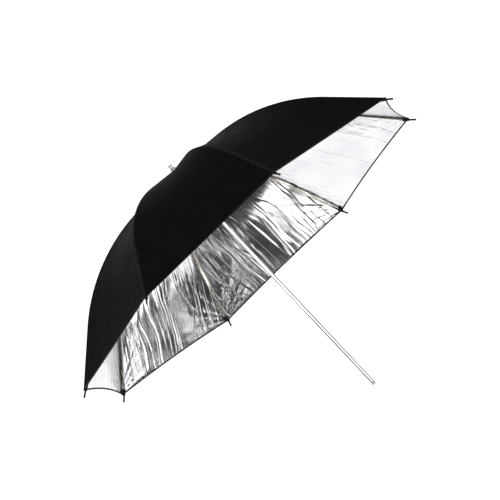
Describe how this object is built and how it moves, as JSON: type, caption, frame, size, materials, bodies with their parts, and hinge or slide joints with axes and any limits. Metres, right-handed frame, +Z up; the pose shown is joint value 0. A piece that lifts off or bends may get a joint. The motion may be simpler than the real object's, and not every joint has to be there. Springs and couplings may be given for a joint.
{
  "type": "umbrella reflector",
  "caption": "Folding photographic umbrella reflector: sprung ribs carry a silver-lined black fabric dish, opened by a sliding runner on a slim shaft for a stand bracket.",
  "frame": {"origin": "on the axis of the shaft, at the middle of the length that a stand's umbrella bracket grips, 80 mm from the shaft's plain end", "axes": "+Y along the shaft towards the ferrule, so the dish opens towards -Y; +Z up, along rib 7; +X along rib 1"},
  "size_m": [0.837, 0.5593, 0.837],
  "materials": {
    "chrome": "polished chrome plate",
    "steel": "bright zinc-plated steel",
    "rib_steel": "bright nickel-plated spring steel",
    "black_plastic": "satin black moulding",
    "grey_plastic": "light grey moulding",
    "canopy_fabric": "black satin outside, metallised silver film inside"
  },
  "bodies": {
    "shaft": {"shaft_tube": "chrome", "shaft_end_plug": "grey_plastic", "ferrule": "chrome", "crown": "black_plastic", "crown_pin": "chrome", "crown_wire": "steel", "canopy_washer": "steel"},
    "catch": {"catch_spring": "steel"},
    "runner": {"runner": "black_plastic", "runner_wire": "steel"},
    "rib_1": {"rib_1": "rib_steel", "rib_tip_1": "black_plastic", "rib_rivet_1": "steel", "canopy_panel_1": "canopy_fabric"},
    "stretcher_1": {"stretcher_1": "steel"},
    "rib_2": {"rib_2": "rib_steel", "rib_tip_2": "black_plastic", "rib_rivet_2": "steel", "canopy_panel_2": "canopy_fabric"},
    "stretcher_2": {"stretcher_2": "steel"},
    "rib_3": {"rib_3": "rib_steel", "rib_tip_3": "black_plastic", "rib_rivet_3": "steel", "canopy_panel_3": "canopy_fabric"},
    "stretcher_3": {"stretcher_3": "steel"},
    "rib_4": {"rib_4": "rib_steel", "rib_tip_4": "black_plastic", "rib_rivet_4": "steel", "canopy_panel_4": "canopy_fabric"},
    "stretcher_4": {"stretcher_4": "steel"},
    "rib_5": {"rib_5": "rib_steel", "rib_tip_5": "black_plastic", "rib_rivet_5": "steel", "canopy_panel_5": "canopy_fabric"},
    "stretcher_5": {"stretcher_5": "steel"},
    "rib_6": {"rib_6": "rib_steel", "rib_tip_6": "black_plastic", "rib_rivet_6": "steel", "canopy_panel_6": "canopy_fabric"},
    "stretcher_6": {"stretcher_6": "steel"},
    "rib_7": {"rib_7": "rib_steel", "rib_tip_7": "black_plastic", "rib_rivet_7": "steel", "canopy_panel_7": "canopy_fabric"},
    "stretcher_7": {"stretcher_7": "steel"},
    "rib_8": {"rib_8": "rib_steel", "rib_tip_8": "black_plastic", "rib_rivet_8": "steel", "canopy_panel_8": "canopy_fabric"},
    "stretcher_8": {"stretcher_8": "steel"}
  },
  "joints": [
    {"name": "runner_slide", "type": "slide", "parent": "shaft", "child": "runner", "axis": [0, -1, 0], "range_m": [0, 0.27248], "deforming": ["canopy_panel_1", "canopy_panel_2", "canopy_panel_3", "canopy_panel_4", "canopy_panel_5", "canopy_panel_6", "canopy_panel_7", "canopy_panel_8", "catch_spring"]},
    {"name": "catch_press", "type": "hinge", "parent": "shaft", "child": "catch", "pos_m": [0, 0.33868, 0], "axis": [0, 0, 1], "range_deg": [0, 5.5], "stiffness_Nm_per_rad": 0.2},
    {"name": "rib_hinge_1", "type": "hinge", "parent": "shaft", "child": "rib_1", "pos_m": [0.009, 0.4605, 0], "axis": [0, 0, -1], "range_deg": [0, 59.01]},
    {"name": "stretcher_hinge_1", "type": "hinge", "parent": "rib_1", "child": "stretcher_1", "pos_m": [0.18818, 0.42474, 0], "axis": [0, 0, 1], "range_deg": [0, 118.02]},
    {"name": "rib_hinge_2", "type": "hinge", "parent": "shaft", "child": "rib_2", "pos_m": [0.00636, 0.4605, -0.00636], "axis": [-0.7071, 0, -0.7071], "range_deg": [0, 59.01]},
    {"name": "stretcher_hinge_2", "type": "hinge", "parent": "rib_2", "child": "stretcher_2", "pos_m": [0.13306, 0.42474, -0.13306], "axis": [0.7071, 0, 0.7071], "range_deg": [0, 118.02]},
    {"name": "rib_hinge_3", "type": "hinge", "parent": "shaft", "child": "rib_3", "pos_m": [0, 0.4605, -0.009], "axis": [-1, 0, 0], "range_deg": [0, 59.01]},
    {"name": "stretcher_hinge_3", "type": "hinge", "parent": "rib_3", "child": "stretcher_3", "pos_m": [0, 0.42474, -0.18818], "axis": [1, 0, 0], "range_deg": [0, 118.02]},
    {"name": "rib_hinge_4", "type": "hinge", "parent": "shaft", "child": "rib_4", "pos_m": [-0.00636, 0.4605, -0.00636], "axis": [-0.7071, 0, 0.7071], "range_deg": [0, 59.01]},
    {"name": "stretcher_hinge_4", "type": "hinge", "parent": "rib_4", "child": "stretcher_4", "pos_m": [-0.13306, 0.42474, -0.13306], "axis": [0.7071, 0, -0.7071], "range_deg": [0, 118.02]},
    {"name": "rib_hinge_5", "type": "hinge", "parent": "shaft", "child": "rib_5", "pos_m": [-0.009, 0.4605, 0], "axis": [0, 0, 1], "range_deg": [0, 59.01]},
    {"name": "stretcher_hinge_5", "type": "hinge", "parent": "rib_5", "child": "stretcher_5", "pos_m": [-0.18818, 0.42474, 0], "axis": [0, 0, -1], "range_deg": [0, 118.02]},
    {"name": "rib_hinge_6", "type": "hinge", "parent": "shaft", "child": "rib_6", "pos_m": [-0.00636, 0.4605, 0.00636], "axis": [0.7071, 0, 0.7071], "range_deg": [0, 59.01]},
    {"name": "stretcher_hinge_6", "type": "hinge", "parent": "rib_6", "child": "stretcher_6", "pos_m": [-0.13306, 0.42474, 0.13306], "axis": [-0.7071, 0, -0.7071], "range_deg": [0, 118.02]},
    {"name": "rib_hinge_7", "type": "hinge", "parent": "shaft", "child": "rib_7", "pos_m": [0, 0.4605, 0.009], "axis": [1, 0, 0], "range_deg": [0, 59.01]},
    {"name": "stretcher_hinge_7", "type": "hinge", "parent": "rib_7", "child": "stretcher_7", "pos_m": [0, 0.42474, 0.18818], "axis": [-1, 0, 0], "range_deg": [0, 118.02]},
    {"name": "rib_hinge_8", "type": "hinge", "parent": "shaft", "child": "rib_8", "pos_m": [0.00636, 0.4605, 0.00636], "axis": [0.7071, 0, -0.7071], "range_deg": [0, 59.01]},
    {"name": "stretcher_hinge_8", "type": "hinge", "parent": "rib_8", "child": "stretcher_8", "pos_m": [0.13306, 0.42474, 0.13306], "axis": [-0.7071, 0, 0.7071], "range_deg": [0, 118.02]}
  ],
  "couplings": [
    {"joint": "rib_hinge_1", "follows": "runner_slide", "rad_per_m": 3.7792},
    {"joint": "stretcher_hinge_1", "follows": "runner_slide", "rad_per_m": 7.5583},
    {"joint": "rib_hinge_2", "follows": "runner_slide", "rad_per_m": 3.7792},
    {"joint": "stretcher_hinge_2", "follows": "runner_slide", "rad_per_m": 7.5583},
    {"joint": "rib_hinge_3", "follows": "runner_slide", "rad_per_m": 3.7792},
    {"joint": "stretcher_hinge_3", "follows": "runner_slide", "rad_per_m": 7.5583},
    {"joint": "rib_hinge_4", "follows": "runner_slide", "rad_per_m": 3.7792},
    {"joint": "stretcher_hinge_4", "follows": "runner_slide", "rad_per_m": 7.5583},
    {"joint": "rib_hinge_5", "follows": "runner_slide", "rad_per_m": 3.7792},
    {"joint": "stretcher_hinge_5", "follows": "runner_slide", "rad_per_m": 7.5583},
    {"joint": "rib_hinge_6", "follows": "runner_slide", "rad_per_m": 3.7792},
    {"joint": "stretcher_hinge_6", "follows": "runner_slide", "rad_per_m": 7.5583},
    {"joint": "rib_hinge_7", "follows": "runner_slide", "rad_per_m": 3.7792},
    {"joint": "stretcher_hinge_7", "follows": "runner_slide", "rad_per_m": 7.5583},
    {"joint": "rib_hinge_8", "follows": "runner_slide", "rad_per_m": 3.7792},
    {"joint": "stretcher_hinge_8", "follows": "runner_slide", "rad_per_m": 7.5583}
  ]
}
